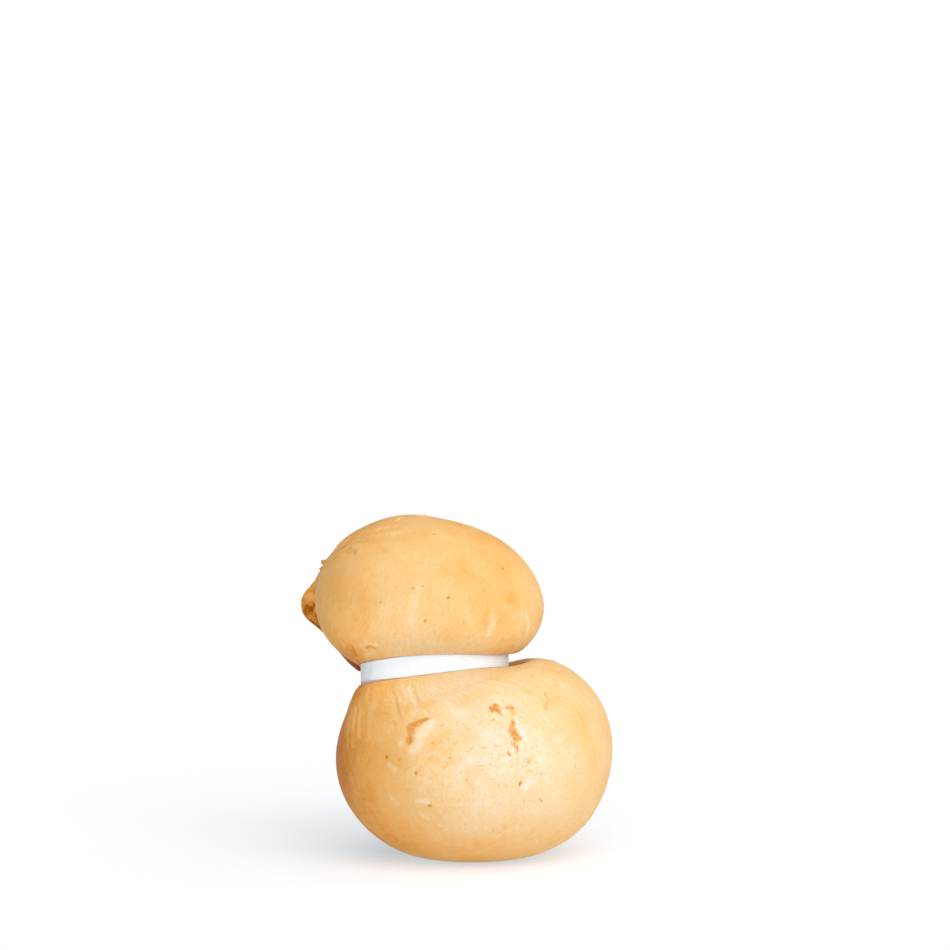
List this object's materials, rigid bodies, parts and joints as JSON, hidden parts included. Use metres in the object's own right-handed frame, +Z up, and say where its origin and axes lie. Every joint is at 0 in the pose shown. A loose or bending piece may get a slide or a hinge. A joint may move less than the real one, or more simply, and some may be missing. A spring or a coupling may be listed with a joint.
{
  "type": "smoked scamorza",
  "caption": "Smoked pear-shaped stretched-curd cheese with a pinched waist, a leaning head and a white tape tied round the waist.",
  "frame": {"origin": "centre of the flat foot that the cheese stands on", "axes": "+Z up through the head, -Y towards the front, +X to the right of someone who faces the front"},
  "size_m": [0.0937, 0.0786, 0.1023],
  "materials": {
    "smoked_rind": "satin smoked rind, straw to amber, with brown specks",
    "white_tape": "plain white woven tape with fine lengthwise ribs"
  },
  "bodies": {
    "root": {"cheese": "smoked_rind", "band": "white_tape"}
  },
  "joints": []
}
